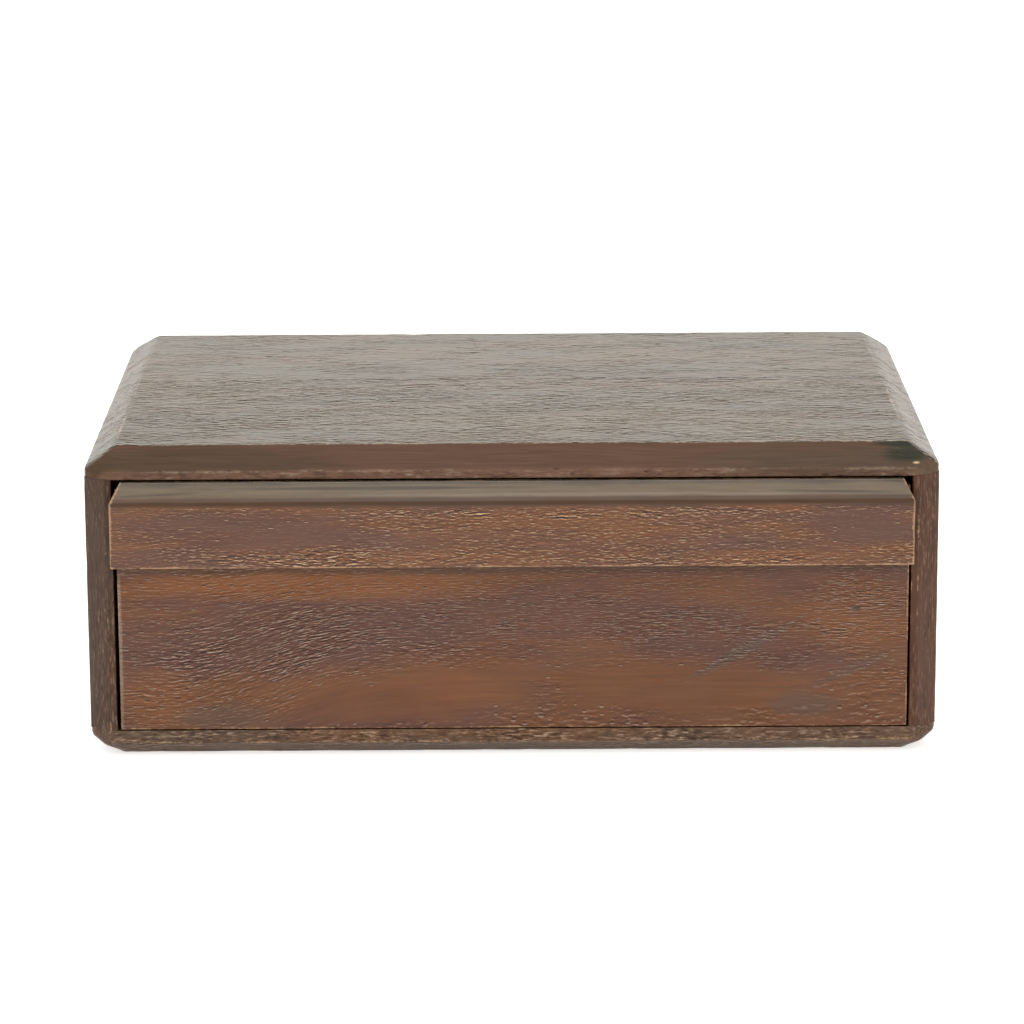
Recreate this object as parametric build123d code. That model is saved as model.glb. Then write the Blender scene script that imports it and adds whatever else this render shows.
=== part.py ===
from build123d import *
import os

# Wooden puzzle box: a six-sided case of glued boards with one drawer. A pull batten runs across
# the drawer front. It looks fixed, but it rides on two keys that pass through slots in the
# drawer front to a latch bar behind. Sliding the batten to the left pushes the bar's tongue into
# a mortise in the left side of the case and locks the drawer. The box is modelled unlocked.
#
# Millimetres. +X is the box's right seen from the front, +Y the rear, +Z up. The origin is the
# middle of the whole box, batten included, on the surface that it stands on.

# Case
WIDTH, CASE_DEPTH, HEIGHT = 300.0, 213.0, 111.0
SIDE_T, TOP_T, BOTTOM_T, BACK_T = 10.0, 10.2, 9.5, 10.0
TOP_SEAM, BOTTOM_SEAM = 119.0, 96.0  # glue lines, measured back from the front face
SIDE_CUT_X, TOP_CUT_Z, BOTTOM_CUT_Z = 10.5, 6.7, 6.2  # chamfers along the two long sides
FACE_CUT_Y, FACE_CUT_X, FACE_CUT_TOP_Z, FACE_CUT_BOTTOM_Z = 5.4, 7.5, 7.5, 5.0  # front and rear
FRONT_TOP_CUT_Y, REAR_TOP_CUT_Y = 10.0, 7.5  # the upper chamfers reach further across the top

# Dowels that hold the case
DOWEL_R, DOWEL_LENGTH, DOWEL_IN_CAP = 2.5, 16.0, 4.5
DOWEL_FROM_FRONT = (25.0, 80.0, 140.0, 190.0)
BACK_DOWEL_Z = (30.0, 55.0, 80.0)
BACK_DOWEL_FROM_REAR = 5.6

# Drawer
GAP_LEFT, GAP_RIGHT, GAP_BELOW, GAP_ABOVE, GAP_BEHIND = 1.2, 0.7, 0.4, 3.3, 0.4
FRONT_T, REBATE, DRAWER_SIDE_T, DRAWER_BACK_T = 10.0, 6.0, 8.0, 8.0
RUNNER_T, RUNNER_W, RUNNER_SETBACK, RUNNER_CLEARANCE = 2.5, 12.0, 14.0, 0.2
DRAWER_SIDE_TOP, DRAWER_BACK_TOP = 78.0, 97.0
PANEL_T, PANEL_RISE, PANEL_GROOVE, FRONT_GROOVE = 4.0, 3.8, 3.0, 4.0
PIN_R, PIN_LENGTH = 0.7, 16.0
FRONT_PIN_Z, BACK_PIN_Z = (28.0, 48.0, 68.0), (34.0, 60.0)
PANEL_PIN_X, PANEL_PIN_LENGTH = (-96.0, -32.0, 32.0, 96.0), 12.0

# Kickers above the drawer sides and the rail that stops the drawer
KICKER_W, KICKER_CLEARANCE, KICKER_SETBACK = 8.0, 0.6, 24.0
STOP_SETBACK, STOP_DEPTH, STOP_BOTTOM = 24.0, 12.0, 92.0

# Pull batten, which stands proud of the drawer front
BATTEN_HALF, BATTEN_PROUD, BATTEN_GAP = 140.3, 8.0, 0.15
BATTEN_BOTTOM, BATTEN_SHOULDER, BATTEN_TOP, BATTEN_CREST = 70.5, 93.8, 100.1, 1.6
BATTEN_CLIP_X, BATTEN_CLIP_Z = 3.4, 6.3
SHOULDER_R, CREST_R, LOWER_R = 2.2, 0.7, 0.8

# Sliding latch behind the batten
LATCH_TRAVEL = 5.0
KEY_X, KEY_W, KEY_BOTTOM, KEY_TOP, KEY_IN_BATTEN = 70.0, 12.0, 83.0, 89.0, 4.5
SLOT_CLEARANCE = 0.4
BAR_GAP, BAR_T, BAR_BOTTOM, BAR_TOP, BAR_END = 0.3, 8.0, 79.0, 93.0, 84.0
TONGUE_SETBACK = 0.4  # tongue tip behind the drawer side's outer face when unlocked
MORTISE_DEPTH, MORTISE_CLEARANCE = 4.6, 0.6
PEG_R, PEG_MARGIN = 1.25, 0.5

# Positions that follow from the sizes above
front = -(CASE_DEPTH + BATTEN_PROUD) / 2 + BATTEN_PROUD
rear = front + CASE_DEPTH
back_inside = rear - BACK_T
half = WIDTH / 2
opening = half - SIDE_T
ceiling = HEIGHT - TOP_T
drawer_left, drawer_right = -opening + GAP_LEFT, opening - GAP_RIGHT
drawer_rear = back_inside - GAP_BEHIND
inner_left, inner_right = drawer_left + DRAWER_SIDE_T, drawer_right - DRAWER_SIDE_T
drawer_side_bottom = BOTTOM_T + RUNNER_T + RUNNER_CLEARANCE
panel_bottom = drawer_side_bottom + PANEL_RISE
panel_top = panel_bottom + PANEL_T
lap = front + FRONT_T - REBATE
bar_front = front + FRONT_T + BAR_GAP
bar_rear = bar_front + BAR_T
tongue_tip = drawer_left + TONGUE_SETBACK


def block(x0, x1, y0, y1, z0, z1):
    """A straight board between two opposite corners."""
    return Pos((x0 + x1) / 2, (y0 + y1) / 2, (z0 + z1) / 2) * Box(x1 - x0, y1 - y0, z1 - z0)


def peg(start, axis, length, radius):
    """A round pin from a start point along an axis."""
    return extrude(Plane(start, z_dir=axis) * Circle(radius), amount=length)


def cut_corners(u0, u1, v0, v1, cut_u, cut_low_v, cut_high_v):
    """Corner points of a rectangle whose four corners are cut off."""
    return [
        (u0 + cut_u, v0), (u1 - cut_u, v0), (u1, v0 + cut_low_v), (u1, v1 - cut_high_v),
        (u1 - cut_u, v1), (u0 + cut_u, v1), (u0, v1 - cut_high_v), (u0, v0 + cut_low_v),
    ]


def case_outline():
    """Outer shape of the whole case: a block with a chamfer on all twelve edges."""
    from_front = cut_corners(-half, half, 0, HEIGHT, SIDE_CUT_X, BOTTOM_CUT_Z, TOP_CUT_Z)
    from_above = cut_corners(-half, half, front, rear, FACE_CUT_X, FACE_CUT_Y, FACE_CUT_Y)
    from_side = [
        (front + FACE_CUT_Y, 0), (rear - FACE_CUT_Y, 0), (rear, FACE_CUT_BOTTOM_Z),
        (rear, HEIGHT - FACE_CUT_TOP_Z), (rear - REAR_TOP_CUT_Y, HEIGHT),
        (front + FRONT_TOP_CUT_Y, HEIGHT), (front, HEIGHT - FACE_CUT_TOP_Z),
        (front, FACE_CUT_BOTTOM_Z),
    ]
    along_y = extrude(Plane.XZ * Polygon(*from_front, align=None), amount=WIDTH, both=True)
    along_z = extrude(Plane.XY * Polygon(*from_above, align=None), amount=WIDTH, both=True)
    along_x = extrude(Plane.YZ * Polygon(*from_side, align=None), amount=WIDTH, both=True)
    return along_y & along_z & along_x


def cap_dowels(upper):
    """Upright dowels between the sides and the top boards, or the bottom boards."""
    base = ceiling - DOWEL_LENGTH + DOWEL_IN_CAP if upper else BOTTOM_T - DOWEL_IN_CAP
    return [
        peg((side * (half - SIDE_T / 2), front + back, base), (0, 0, 1), DOWEL_LENGTH, DOWEL_R)
        for side in (-1, 1) for back in DOWEL_FROM_FRONT
    ]


def back_dowels():
    """Level dowels between the sides and the back panel."""
    return [
        peg((side * (opening + DOWEL_IN_CAP), rear - BACK_DOWEL_FROM_REAR, z), (-side, 0, 0),
            DOWEL_LENGTH, DOWEL_R)
        for side in (-1, 1) for z in BACK_DOWEL_Z
    ]


def case_parts():
    """The eight boards of the case, with their dowels."""
    upper, lower, level = cap_dowels(True), cap_dowels(False), back_dowels()
    mortise = block(
        -opening - MORTISE_DEPTH, -opening, bar_front - MORTISE_CLEARANCE,
        bar_rear + MORTISE_CLEARANCE, BAR_BOTTOM - MORTISE_CLEARANCE, BAR_TOP + MORTISE_CLEARANCE,
    )
    rough = {
        "top_front_board": block(-half, half, front, front + TOP_SEAM, ceiling, HEIGHT),
        "top_rear_board": block(-half, half, front + TOP_SEAM, rear, ceiling, HEIGHT),
        "bottom_front_board": block(-half, half, front, front + BOTTOM_SEAM, 0, BOTTOM_T),
        "bottom_rear_board": block(-half, half, front + BOTTOM_SEAM, rear, 0, BOTTOM_T),
        "left_side": block(-half, -opening, front, rear, BOTTOM_T, ceiling) - mortise,
        "right_side": block(opening, half, front, rear, BOTTOM_T, ceiling),
        "back_panel": block(-opening, opening, back_inside, rear, BOTTOM_T, ceiling),
    }
    outline = case_outline()
    boards = {name: (board & outline) - (upper + lower + level) for name, board in rough.items()}
    groups = {"top_dowels": upper, "bottom_dowels": lower, "back_dowels": level}
    return boards | groups


def drawer_guides():
    """Strips inside the case: runners below the drawer, kickers above it, and the stop rail."""
    runner_y = (front + RUNNER_SETBACK, back_inside)
    kicker_y = (front + KICKER_SETBACK, back_inside)
    stop_y = (front + STOP_SETBACK, front + STOP_SETBACK + STOP_DEPTH)
    runner_z = (BOTTOM_T, BOTTOM_T + RUNNER_T)
    kicker_z = (DRAWER_SIDE_TOP + KICKER_CLEARANCE, ceiling)
    return {
        "left_runner": block(-opening, -opening + RUNNER_W, *runner_y, *runner_z),
        "right_runner": block(opening - RUNNER_W, opening, *runner_y, *runner_z),
        "left_kicker": block(-opening, -opening + KICKER_W, *kicker_y, *kicker_z),
        "right_kicker": block(opening - KICKER_W, opening, *kicker_y, *kicker_z),
        "stop_rail": block(-opening + KICKER_W, opening - KICKER_W, *stop_y, STOP_BOTTOM, ceiling),
    }


def key_blanks():
    """The two keys that carry the batten, from inside the batten to the bar's rear face."""
    start = front - BATTEN_GAP - KEY_IN_BATTEN
    return {
        name: block(x - KEY_W / 2, x + KEY_W / 2, start, bar_rear, KEY_BOTTOM, KEY_TOP)
        for name, x in (("left_carrier_key", -KEY_X), ("right_carrier_key", KEY_X))
    }


def key_slots():
    """Slots in the drawer front, as long as a key and the latch's travel."""
    return [
        block(x - KEY_W / 2 - LATCH_TRAVEL - SLOT_CLEARANCE, x + KEY_W / 2 + SLOT_CLEARANCE,
              front, front + FRONT_T, KEY_BOTTOM - SLOT_CLEARANCE, KEY_TOP + SLOT_CLEARANCE)
        for x in (-KEY_X, KEY_X)
    ]


def drawer_pins():
    """Panel pins: level ones through the drawer sides, upright ones through the bottom panel."""
    pins = []
    for x, inward in ((drawer_left, 1), (drawer_right, -1)):
        for z in FRONT_PIN_Z:
            pins.append(peg((x, lap + REBATE / 2, z), (inward, 0, 0), PIN_LENGTH, PIN_R))
        for z in BACK_PIN_Z:
            start = (x, drawer_rear - DRAWER_BACK_T / 2, z)
            pins.append(peg(start, (inward, 0, 0), PIN_LENGTH, PIN_R))
    for x in PANEL_PIN_X:
        start = (x, drawer_rear - DRAWER_BACK_T / 2, panel_bottom)
        pins.append(peg(start, (0, 0, 1), PANEL_PIN_LENGTH, PIN_R))
    return pins


def drawer_parts():
    """The drawer: a rebated front, two grooved sides, a back on top of the bottom panel."""
    panel = block(
        inner_left - PANEL_GROOVE, inner_right + PANEL_GROOVE,
        front + FRONT_T - FRONT_GROOVE, drawer_rear, panel_bottom, panel_top,
    )
    pins = drawer_pins()
    front_top = ceiling - GAP_ABOVE
    face = block(drawer_left, drawer_right, front, front + FRONT_T, BOTTOM_T + GAP_BELOW, front_top)
    side_y, side_z = (lap, drawer_rear), (drawer_side_bottom, DRAWER_SIDE_TOP)
    left = block(drawer_left, inner_left, *side_y, *side_z)
    right = block(inner_right, drawer_right, *side_y, *side_z)
    back_y = (drawer_rear - DRAWER_BACK_T, drawer_rear)
    back = block(inner_left, inner_right, *back_y, panel_top, DRAWER_BACK_TOP)
    return {
        "drawer_front": face - [left, right, panel] - key_slots() - pins,
        "drawer_left_side": left - panel - pins,
        "drawer_right_side": right - panel - pins,
        "drawer_back": back - pins,
        "drawer_bottom": panel - pins,
        "drawer_pins": pins,
    }


def batten():
    """Pull batten: a moulding with a sloping top, clipped at both upper ends."""
    face, heel = front - BATTEN_PROUD, front - BATTEN_GAP
    section = Polygon(
        (heel, BATTEN_BOTTOM), (face, BATTEN_BOTTOM), (face, BATTEN_SHOULDER),
        (heel - BATTEN_CREST, BATTEN_TOP), (heel, BATTEN_TOP), align=None,
    )
    bar = extrude(Plane.YZ * section, amount=BATTEN_HALF, both=True)
    for z, radius, depth in (
        (BATTEN_SHOULDER, SHOULDER_R, face),
        (BATTEN_TOP, CREST_R, heel - BATTEN_CREST),
        (BATTEN_BOTTOM, LOWER_R, face),
    ):
        target = Vector(0, depth, z)
        edge = min(bar.edges().filter_by(Axis.X), key=lambda e: (e.center() - target).length)
        bar = fillet(edge, radius)
    clip = Polygon(
        (-BATTEN_HALF, BATTEN_BOTTOM), (BATTEN_HALF, BATTEN_BOTTOM),
        (BATTEN_HALF, BATTEN_TOP - BATTEN_CLIP_Z), (BATTEN_HALF - BATTEN_CLIP_X, BATTEN_TOP),
        (BATTEN_CLIP_X - BATTEN_HALF, BATTEN_TOP), (-BATTEN_HALF, BATTEN_TOP - BATTEN_CLIP_Z),
        align=None,
    )
    return bar & extrude(Plane.XZ * clip, amount=CASE_DEPTH, both=True)


def latch_parts():
    """Batten, keys, latch bar and the pegs that pin the bar to the keys."""
    keys = key_blanks()
    pegs = [
        peg((x, (bar_front + bar_rear) / 2, BAR_BOTTOM + PEG_MARGIN), (0, 0, 1),
            BAR_TOP - BAR_BOTTOM - 2 * PEG_MARGIN, PEG_R)
        for x in (-KEY_X, KEY_X)
    ]
    bar = block(tongue_tip, BAR_END, bar_front, bar_rear, BAR_BOTTOM, BAR_TOP)
    parts = {name: key - pegs for name, key in keys.items()}
    parts["pull_batten"] = batten() - list(keys.values())
    parts["latch_bar"] = bar - list(keys.values()) - pegs
    parts["key_pegs"] = pegs
    return parts


def main():
    """Write one file for each named piece of the box."""
    os.makedirs("parts", exist_ok=True)
    nodes = case_parts() | drawer_guides() | drawer_parts() | latch_parts()
    for name, shape in nodes.items():
        pieces = shape if isinstance(shape, list) else [shape]
        solids = [solid for piece in pieces for solid in piece.solids()]
        export_step(Compound(children=solids), f"parts/{name}.step")


main()
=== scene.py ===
from math import cos, pi, radians, sin

import bmesh
import bpy
import numpy as np
from mathutils import Matrix, Vector


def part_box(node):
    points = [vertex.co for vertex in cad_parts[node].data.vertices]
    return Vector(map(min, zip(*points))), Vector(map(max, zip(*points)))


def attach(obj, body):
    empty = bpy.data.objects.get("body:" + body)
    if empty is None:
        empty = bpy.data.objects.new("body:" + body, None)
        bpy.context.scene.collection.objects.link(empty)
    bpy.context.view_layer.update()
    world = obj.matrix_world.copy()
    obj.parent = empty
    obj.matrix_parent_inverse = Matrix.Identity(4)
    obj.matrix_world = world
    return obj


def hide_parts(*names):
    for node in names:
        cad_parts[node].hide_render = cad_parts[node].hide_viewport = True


# Looks of the wooden puzzle box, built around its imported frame. Metres; sizes written in
# millimetres are multiplied by MM. The box is made of hand-planed, dark-stained boards with open
# pores and arrises that are worn pale. Patterns on the wood are measured in millimetres.

MM = 0.001

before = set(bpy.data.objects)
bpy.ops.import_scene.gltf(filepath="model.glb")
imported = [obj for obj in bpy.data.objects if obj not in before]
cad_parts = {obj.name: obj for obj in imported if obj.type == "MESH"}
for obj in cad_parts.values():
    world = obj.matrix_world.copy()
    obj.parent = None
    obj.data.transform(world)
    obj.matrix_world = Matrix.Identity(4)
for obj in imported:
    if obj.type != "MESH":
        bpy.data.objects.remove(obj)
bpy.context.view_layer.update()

# Places read from the frame
top_low, top_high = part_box("top_front_board")
rear_top_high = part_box("top_rear_board")[1]
batten_low, batten_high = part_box("pull_batten")
left_low, left_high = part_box("left_side")
FACE_Y = left_low.y  # plane of the case's front face
TOP_SEAM_Y = top_high.y
BOTTOM_SEAM_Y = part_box("bottom_front_board")[1].y
CEILING_Z = left_high.z  # underside of the top
FLOOR_Z = left_low.z  # upper side of the bottom

# Hand finish
ARRIS = 0.55 * MM
SIDE_ROUND = 2.6 * MM
SIDE_CUT = 10.5 * MM  # how far the side chamfers reach across the top
TIGHT_ARRIS = 0.10 * MM  # where two boards are glued edge to edge
WEAR_REACH = 1.5 * MM
GRID = 4.0 * MM  # how finely a board is cut for the hollows left by the plane

# Tolerances for reading a CAD board
SAME_CORNER = 2e-6
FLUSH = 5e-6
ON_LINE = 2e-5
SAME_PLANE = radians(0.6)
ARRIS_ANGLE = radians(25)
CRISP_ANGLE = radians(30)


# ---------------------------------------------------------------- node helpers

def feed(tree, socket, value):
    """Joins a socket to another, or sets its own value."""
    if isinstance(value, bpy.types.NodeSocket):
        tree.links.new(value, socket)
    else:
        socket.default_value = value


def add_node(tree, kind, inputs=(), **settings):
    """A node with its settings, and its inputs given by name or number."""
    node = tree.nodes.new(kind)
    for name, value in settings.items():
        setattr(node, name, value)
    for key, value in dict(inputs).items():
        feed(tree, node.inputs[key], value)
    return node


def calc(tree, operation, *values, clamp=False):
    return add_node(tree, "ShaderNodeMath", dict(enumerate(values)),
                    operation=operation, use_clamp=clamp).outputs[0]


def vector_calc(tree, operation, *values):
    node = add_node(tree, "ShaderNodeVectorMath", dict(enumerate(values)), operation=operation)
    return node.outputs["Value" if operation == "LENGTH" else "Vector"]


def join_xyz(tree, x, y, z):
    return add_node(tree, "ShaderNodeCombineXYZ", {"X": x, "Y": y, "Z": z}).outputs[0]


def split_xyz(tree, vector):
    return add_node(tree, "ShaderNodeSeparateXYZ", {"Vector": vector}).outputs


def noise(tree, vector, scale, detail=2.0, roughness=0.5, distortion=0.0):
    node = add_node(tree, "ShaderNodeTexNoise", {
        "Vector": vector, "Scale": scale, "Detail": detail,
        "Roughness": roughness, "Distortion": distortion}, noise_dimensions="3D")
    return node.outputs["Fac"]


def smooth(tree, value, low, high):
    """0 below low, 1 above high, with a soft step between."""
    return add_node(tree, "ShaderNodeMapRange", {
        "Value": value, "From Min": low, "From Max": high, "To Min": 0.0, "To Max": 1.0},
        interpolation_type="SMOOTHSTEP").outputs["Result"]


def blend_colour(tree, factor, a, b, blend_type="MIX"):
    node = tree.nodes.new("ShaderNodeMix")
    node.data_type, node.blend_type = "RGBA", blend_type
    by_name = {(s.name, s.type): s for s in node.inputs}
    feed(tree, by_name["Factor", "VALUE"], factor)
    feed(tree, by_name["A", "RGBA"], a)
    feed(tree, by_name["B", "RGBA"], b)
    return next(s for s in node.outputs if s.type == "RGBA")


def shader_group(name, inputs, outputs):
    """An empty shader node group with named inputs and outputs."""
    group = bpy.data.node_groups.new(name, "ShaderNodeTree")
    for label, (kind, value) in inputs.items():
        socket = group.interface.new_socket(label, in_out="INPUT", socket_type=kind)
        socket.default_value = value
    for label, kind in outputs.items():
        group.interface.new_socket(label, in_out="OUTPUT", socket_type=kind)
    entry = group.nodes.new("NodeGroupInput").outputs
    exit_node = group.nodes.new("NodeGroupOutput").inputs
    return group, entry, exit_node


FLOAT, VECTOR, COLOUR = "NodeSocketFloat", "NodeSocketVector", "NodeSocketColor"


def use_group(tree, group, values):
    node = tree.nodes.new("ShaderNodeGroup")
    node.node_tree = group
    for name, value in values.items():
        feed(tree, node.inputs[name], value)
    return node.outputs


# ---------------------------------------------------------------- shared effects

def make_grain_flow():
    """Bends straight grain: a long sweep across the board and a gentle wander everywhere."""
    group, given, result = shader_group("grain_flow", {
        "Position": (VECTOR, (0, 0, 0)), "Sweep Rise": (FLOAT, 0.0), "Sweep Start": (FLOAT, 0.0),
        "Sweep Length": (FLOAT, 100.0), "Sweep Middle": (FLOAT, 0.0), "Sweep Reach": (FLOAT, 30.0),
        "Wander": (FLOAT, 4.0), "Wander Size": (FLOAT, 60.0)}, {"Grain": VECTOR})
    along, across, deep = split_xyz(group, given["Position"])
    travelled = calc(group, "DIVIDE", calc(group, "SUBTRACT", along, given["Sweep Start"]),
                     given["Sweep Length"])
    climb = smooth(group, travelled, 0.0, 1.0)
    off_middle = calc(group, "DIVIDE", calc(group, "SUBTRACT", across, given["Sweep Middle"]),
                      given["Sweep Reach"])
    bell = calc(group, "EXPONENT", calc(group, "MULTIPLY", calc(group, "POWER", off_middle, 2.0), -1.0))
    sweep = calc(group, "MULTIPLY", calc(group, "MULTIPLY", climb, given["Sweep Rise"]), bell)
    flat = join_xyz(group, calc(group, "MULTIPLY", along, 0.4), across, deep)
    scale = calc(group, "DIVIDE", 1.0, given["Wander Size"])
    swing = noise(group, flat, scale, detail=2.5, roughness=0.45)
    other = noise(group, vector_calc(group, "ADD", flat, (91.0, 37.0, 53.0)), scale, detail=1.5)
    wander = calc(group, "MULTIPLY", calc(group, "SUBTRACT", swing, 0.5), given["Wander"])
    wander_deep = calc(group, "MULTIPLY", calc(group, "SUBTRACT", other, 0.5), given["Wander"])
    bent = calc(group, "ADD", calc(group, "SUBTRACT", across, sweep), wander)
    feed(group, result["Grain"], join_xyz(group, along, bent, calc(group, "ADD", deep, wander_deep)))
    return group


def make_open_pores():
    """Short pores drawn out along the grain, thinned out by a share, and the lip below each."""
    group, given, result = shader_group("open_pores", {
        "Grain": (VECTOR, (0, 0, 0)), "Length": (FLOAT, 3.5), "Width": (FLOAT, 0.45),
        "Share": (FLOAT, 0.6)}, {"Pores": FLOAT, "Lip": FLOAT})
    along, across, deep = split_xyz(group, given["Grain"])
    pitch_along = calc(group, "MULTIPLY", given["Length"], 1.3)
    pitch_across = calc(group, "MULTIPLY", given["Width"], 2.0)
    near = []
    for raised in (0.0, 0.8):
        height = calc(group, "MULTIPLY_ADD", given["Width"], raised, across)
        packed = join_xyz(group, calc(group, "DIVIDE", along, pitch_along),
                          calc(group, "DIVIDE", height, pitch_across),
                          calc(group, "DIVIDE", deep, pitch_across))
        cells = add_node(group, "ShaderNodeTexVoronoi", {"Vector": packed, "Scale": 1.0,
                         "Randomness": 1.0}, voronoi_dimensions="3D", feature="F1")
        chance, size, _ = split_xyz(group, cells.outputs["Color"])
        present = smooth(group, calc(group, "SUBTRACT", given["Share"], chance), 0.0, 0.06)
        reach = calc(group, "MULTIPLY_ADD", size, 0.20, 0.24)
        inside = calc(group, "SUBTRACT", 1.0,
                      calc(group, "DIVIDE", cells.outputs["Distance"], reach))
        near.append(calc(group, "MULTIPLY", smooth(group, inside, 0.0, 0.6), present))
    feed(group, result["Pores"], near[0])
    feed(group, result["Lip"], calc(group, "SUBTRACT", near[1], near[0], clamp=True))
    return group


def make_raised_grain():
    """Fine wavy ridges along the grain: height, and masks for painted light: flanks that look up (painted
    highlight), flanks that look down (painted shade), and the steepest upward flanks (painted glints).
    """
    group, given, result = shader_group("raised_grain", {
        "Grain": (VECTOR, (0, 0, 0)), "Length": (FLOAT, 6.0), "Width": (FLOAT, 0.8)},
        {"Height": FLOAT, "Upper Flank": FLOAT, "Lower Flank": FLOAT, "Glint": FLOAT})
    along, across, deep = split_xyz(group, given["Grain"])
    here = join_xyz(group, calc(group, "DIVIDE", along, given["Length"]),
                    calc(group, "DIVIDE", across, given["Width"]),
                    calc(group, "DIVIDE", deep, given["Width"]))
    above = vector_calc(group, "ADD", here, (0.0, 0.45, 0.0))
    level = noise(group, here, 1.0, detail=2.5, roughness=0.55)
    level_above = noise(group, above, 1.0, detail=2.5, roughness=0.55)
    fall = calc(group, "SUBTRACT", level, level_above)
    feed(group, result["Height"], level)
    feed(group, result["Upper Flank"], smooth(group, fall, 0.03, 0.14))
    feed(group, result["Lower Flank"], smooth(group, calc(group, "MULTIPLY", fall, -1.0), 0.03, 0.12))
    feed(group, result["Glint"], smooth(group, fall, 0.11, 0.19))
    return group


def make_timber_tone():
    """Stain over plain timber: its broad warm and cool zones, and fine fibre lines."""
    group, given, result = shader_group("timber_tone", {
        "Grain": (VECTOR, (0, 0, 0)), "Warm": (COLOUR, (0.2, 0.1, 0.05, 1)),
        "Cool": (COLOUR, (0.1, 0.06, 0.05, 1)), "Zone Length": (FLOAT, 90.0),
        "Zone Width": (FLOAT, 22.0), "Zone Bias": (FLOAT, 0.0)},
        {"Colour": COLOUR, "Fibre": FLOAT})
    along, across, deep = split_xyz(group, given["Grain"])
    zone_at = join_xyz(group, calc(group, "DIVIDE", along, given["Zone Length"]),
                       calc(group, "DIVIDE", across, given["Zone Width"]),
                       calc(group, "DIVIDE", deep, given["Zone Width"]))
    zone_noise = noise(group, zone_at, 1.0, detail=3.0, roughness=0.5, distortion=0.4)
    zone = smooth(group, calc(group, "ADD", zone_noise, given["Zone Bias"]), 0.36, 0.64)
    fibre_at = join_xyz(group, calc(group, "MULTIPLY", along, 0.035), across, deep)
    fibre = noise(group, fibre_at, 1.1, detail=4.0, roughness=0.6)
    feed(group, result["Colour"], blend_colour(group, zone, given["Warm"], given["Cool"]))
    feed(group, result["Fibre"], fibre)
    return group


def make_edge_wear():
    """Where stain has rubbed off an arris, in broken stretches."""
    group, given, result = shader_group("edge_wear", {
        "Arris": (FLOAT, 0.0), "Position": (VECTOR, (0, 0, 0)), "Amount": (FLOAT, 0.5),
        "Grit": (FLOAT, 1.6)}, {"Wear": FLOAT})
    fine = noise(group, given["Position"], calc(group, "DIVIDE", 1.0, given["Grit"]), detail=3.0,
                 roughness=0.6)
    long = noise(group, given["Position"], 0.055, detail=2.0)
    ragged = calc(group, "ADD", calc(group, "MULTIPLY", calc(group, "SUBTRACT", fine, 0.5), 0.9),
                  calc(group, "MULTIPLY", calc(group, "SUBTRACT", long, 0.5), 1.2))
    level = calc(group, "ADD", calc(group, "ADD", given["Arris"], ragged),
                 calc(group, "SUBTRACT", given["Amount"], 1.0))
    feed(group, result["Wear"], smooth(group, level, 0.12, 0.42))
    return group


def make_soft_patch():
    """A rounded patch with a soft, ragged edge, turned by a tilt in radians."""
    group, given, result = shader_group("soft_patch", {
        "Position": (VECTOR, (0, 0, 0)), "Centre": (VECTOR, (0, 0, 0)),
        "Half Size": (VECTOR, (30.0, 10.0, 1000.0)), "Tilt": (FLOAT, 0.0)}, {"Patch": FLOAT})
    offset = vector_calc(group, "SUBTRACT", given["Position"], given["Centre"])
    along, across, deep = split_xyz(group, offset)
    cosine, sine = calc(group, "COSINE", given["Tilt"]), calc(group, "SINE", given["Tilt"])
    long_way = calc(group, "ADD", calc(group, "MULTIPLY", along, cosine),
                    calc(group, "MULTIPLY", across, sine))
    short_way = calc(group, "SUBTRACT", calc(group, "MULTIPLY", across, cosine),
                     calc(group, "MULTIPLY", along, sine))
    drawn_out = vector_calc(group, "MULTIPLY", given["Position"], (0.05, 0.16, 0.16))
    rough = noise(group, drawn_out, 1.0, detail=3.0, roughness=0.55)
    turned = join_xyz(group, long_way, short_way, deep)
    far = vector_calc(group, "LENGTH", vector_calc(group, "DIVIDE", turned, given["Half Size"]))
    edge = calc(group, "ADD", far, calc(group, "MULTIPLY", calc(group, "SUBTRACT", rough, 0.5), 0.9))
    feed(group, result["Patch"], calc(group, "SUBTRACT", 1.0, smooth(group, edge, 0.45, 1.15)))
    return group


GRAIN_FLOW = make_grain_flow()
OPEN_PORES = make_open_pores()
RAISED_GRAIN = make_raised_grain()
TIMBER_TONE = make_timber_tone()
EDGE_WEAR = make_edge_wear()
SOFT_PATCH = make_soft_patch()


# ---------------------------------------------------------------- timber materials

FLAT, FACING, UPRIGHT = (0, 0, 0), (radians(-90), 0, 0), (0, radians(90), 0)
RUNNING_BACK = (0, 0, radians(-90))

WARM = (0.150, 0.058, 0.019, 1)
COOL = (0.088, 0.040, 0.026, 1)
WORN = (0.34, 0.20, 0.105, 1)
# Colour mixed into the painted highlight on ridge flanks that look up.
FLANK_HIGHLIGHT = (0.27, 0.175, 0.120, 1)
# Colour of the pores' dark core, and of the painted shade in the pores and on ridge flanks that look
# down.
PORE_AND_SHADE = (0.022, 0.012, 0.010, 1)
GLINT = (0.36, 0.27, 0.21, 1)

FRONT_COVER = 0.92  # how far the front edge's colour hides the board's own
FRONT_WEAR = 0.25  # share of the wear that is left on a dull front edge
FRONT_DULLNESS = 0.45
WORN_COVER = 0.8
# Painted highlight: ridge flanks that look up are painted this much paler, then mixed with the highlight
# colour by the share on the next line.
LIT_GAIN = 2.4  # a flank that looks up is this much paler than the wood around it
HIGHLIGHT_TINT_SHARE = 0.5
PORE_DEPTH = 0.2


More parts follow.
